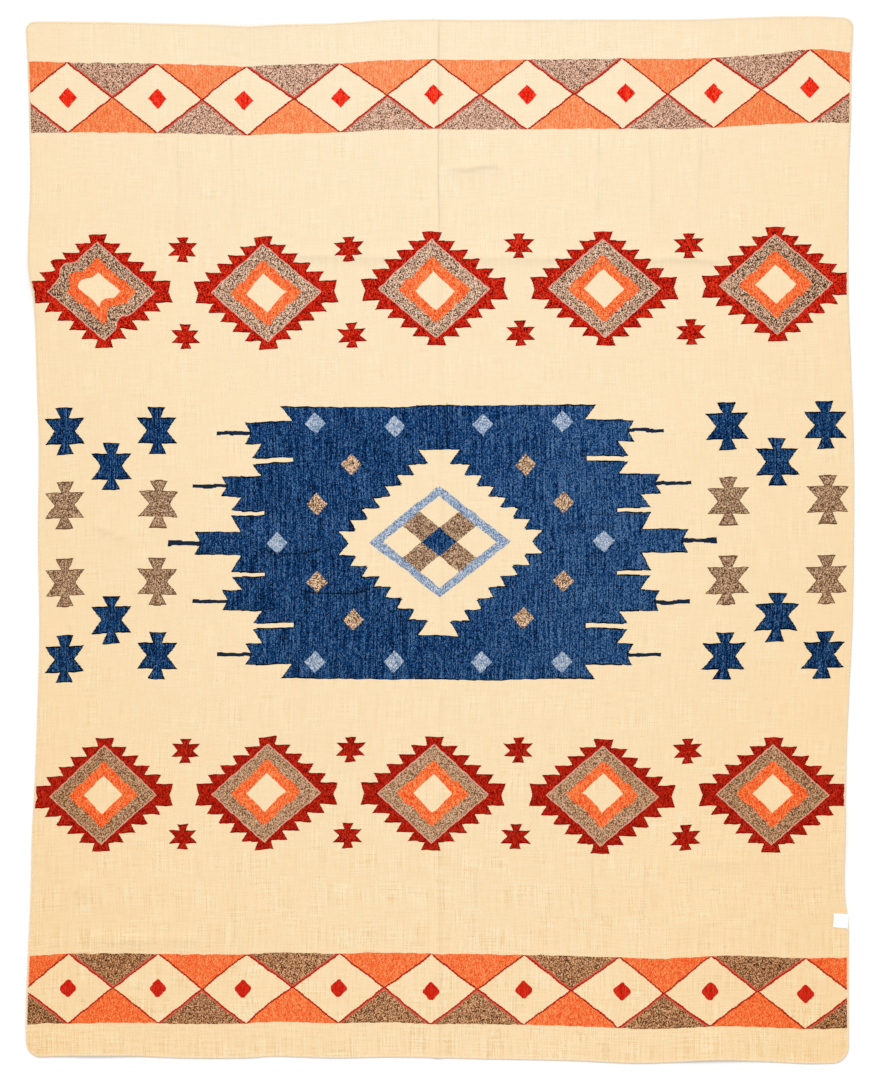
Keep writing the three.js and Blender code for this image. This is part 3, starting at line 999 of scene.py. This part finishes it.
# White thread holds it down along the edge, in short stitches.
SEWN_AT, SEWN_ALONG = 0.84, 0.92
SEWING_STITCHES = 9
STITCH_LENGTH, THREAD_RADIUS = 2.3, 0.22
bm = bmesh.new()
for n in range(SEWING_STITCHES):
    along = ((n + 0.5) / SEWING_STITCHES * 2 - 1) * SEWN_ALONG
    px, py = on_label(SEWN_AT, along)
    high = label_height(SEWN_AT, along) + LABEL_THICKNESS + float(lift_at(np.array(px), np.array(py)))
    stitch = bmesh.ops.create_icosphere(bm, subdivisions=2, radius=MM)["verts"]
    bmesh.ops.scale(bm, verts=stitch, vec=(THREAD_RADIUS, STITCH_LENGTH / 2, THREAD_RADIUS))
    bmesh.ops.rotate(bm, verts=stitch, matrix=Matrix.Rotation(LABEL_TILT, 3, "Z"))
    bmesh.ops.translate(bm, verts=stitch, vec=(px * MM, py * MM, high * MM))
sewing = piece_of(bm, "label_sewing")
sewing.data.materials.append(tape)
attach(sewing, "root")


# --- Floor, light and camera ----------------------------------------------------------------------
# A plain white studio floor, a broad soft light from above the head of the blanket, and a camera straight
# above the middle.
FLOOR_HALF = 60
FLOOR_WHITE = (0.93, 0.93, 0.93, 1)
SKY_LIGHT, SOFT_LIGHT = 0.74, 1.5
SOFTNESS, SLOPE_BACK, SLOPE_SIDE = (math.radians(angle) for angle in (24, -38, -14))
bm = bmesh.new()
bmesh.ops.create_grid(bm, x_segments=1, y_segments=1, size=FLOOR_HALF)
floor = piece_of(bm, "floor")
floor_paint = bpy.data.materials.new("floor_paint")
floor_paint.use_nodes = True
shade = floor_paint.node_tree.nodes["Principled BSDF"]
shade.inputs["Base Color"].default_value = FLOOR_WHITE
shade.inputs["Roughness"].default_value = 0.9
floor.data.materials.append(floor_paint)

world = bpy.data.worlds.new("studio")
world.use_nodes = True
world.node_tree.nodes["Background"].inputs["Color"].default_value = (1, 1, 1, 1)
world.node_tree.nodes["Background"].inputs["Strength"].default_value = SKY_LIGHT
bpy.context.scene.world = world

soft = bpy.data.lights.new("soft_light", "SUN")
soft.energy = SOFT_LIGHT
soft.angle = SOFTNESS
lamp = bpy.data.objects.new("soft_light", soft)
lamp.rotation_euler = (SLOPE_BACK, SLOPE_SIDE, 0)
bpy.context.scene.collection.objects.link(lamp)

VIEW_HEIGHT = 2.487
VIEW_MIDDLE, CLOTH_HEIGHT = -0.0113, 0.003
LENS, SENSOR = 70, 36
camera_data = bpy.data.cameras.new("camera")
camera_data.lens, camera_data.sensor_width = LENS, SENSOR
camera = bpy.data.objects.new("camera", camera_data)
camera.location = (VIEW_MIDDLE, 0, VIEW_HEIGHT * LENS / SENSOR + CLOTH_HEIGHT)
bpy.context.scene.collection.objects.link(camera)
bpy.context.scene.camera = camera
bpy.context.scene.view_settings.view_transform = "Standard"
